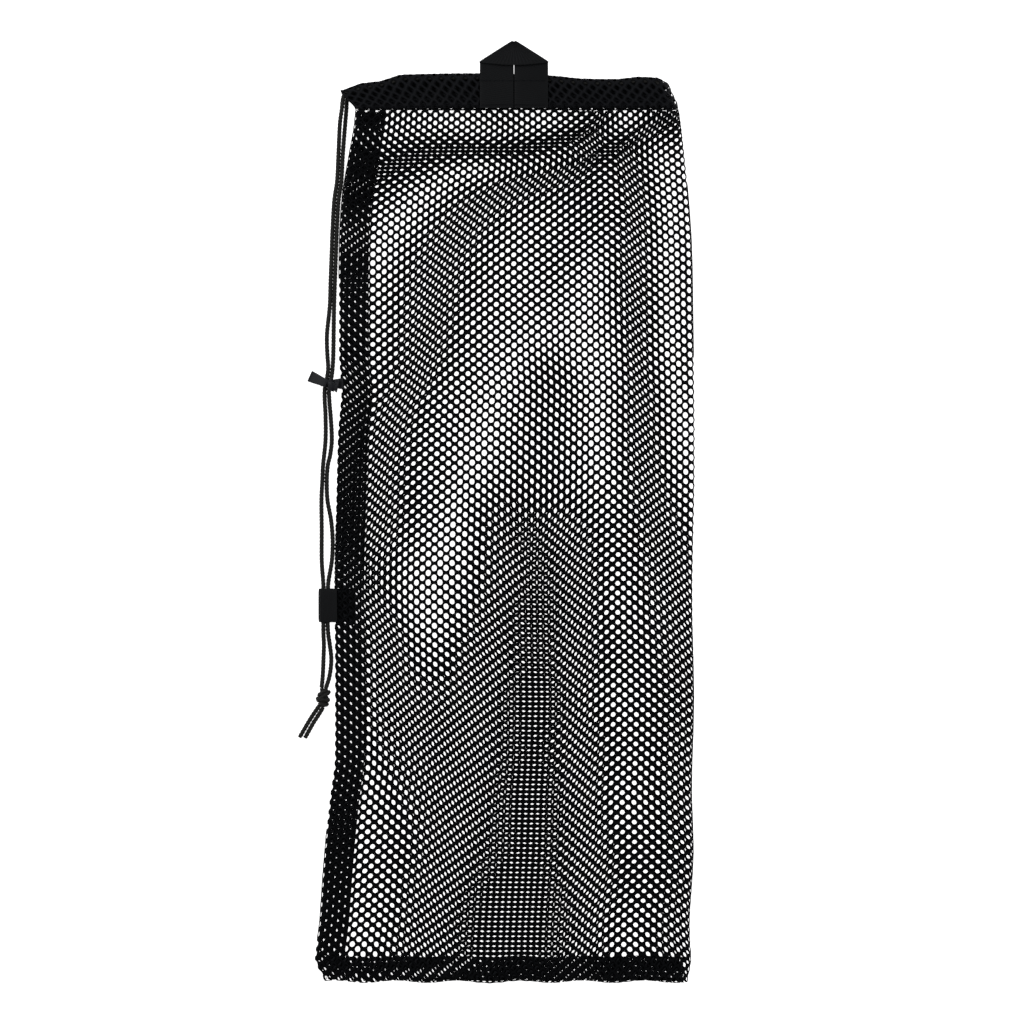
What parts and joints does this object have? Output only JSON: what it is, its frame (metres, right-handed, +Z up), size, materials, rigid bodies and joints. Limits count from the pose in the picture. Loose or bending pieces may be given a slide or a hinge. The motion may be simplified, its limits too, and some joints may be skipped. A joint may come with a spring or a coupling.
{
  "type": "mesh dive gear bag with drawcord",
  "caption": "Long flat drawstring bag of hex net, lying empty with its mouth a little open, hanging loop at the mouth and a knotted drawcord down its left side.",
  "frame": {"origin": "middle of the flat underside of the back panel, on the surface that the bag lies on", "axes": "+Y along the bag and out of its mouth, +X from the sewn left edge to the folded right edge, +Z up from the back panel to the front panel"},
  "size_m": [0.2947, 0.6984, 0.0217],
  "materials": {
    "net": "knitted polyester hex net, satin",
    "hem_net": "the same net in several layers, sewn",
    "webbing": "ribbed woven webbing, matt",
    "ribbon": "smooth woven tape, satin",
    "cord": "round braided polyester cord"
  },
  "bodies": {
    "root": {"mesh_body": "net", "drawcord_casing": "hem_net", "side_seam": "hem_net", "bottom_seam": "hem_net", "casing_cord": "cord", "hanging_loop": "webbing", "side_webbing_loop": "webbing", "keeper_ribbon": "ribbon", "keeper_knot": "ribbon", "keeper_tail": "ribbon", "drawcord_a": "cord", "drawcord_b": "cord", "end_knot": "cord", "cord_tail_a": "cord", "cord_tail_b": "cord"}
  },
  "joints": []
}
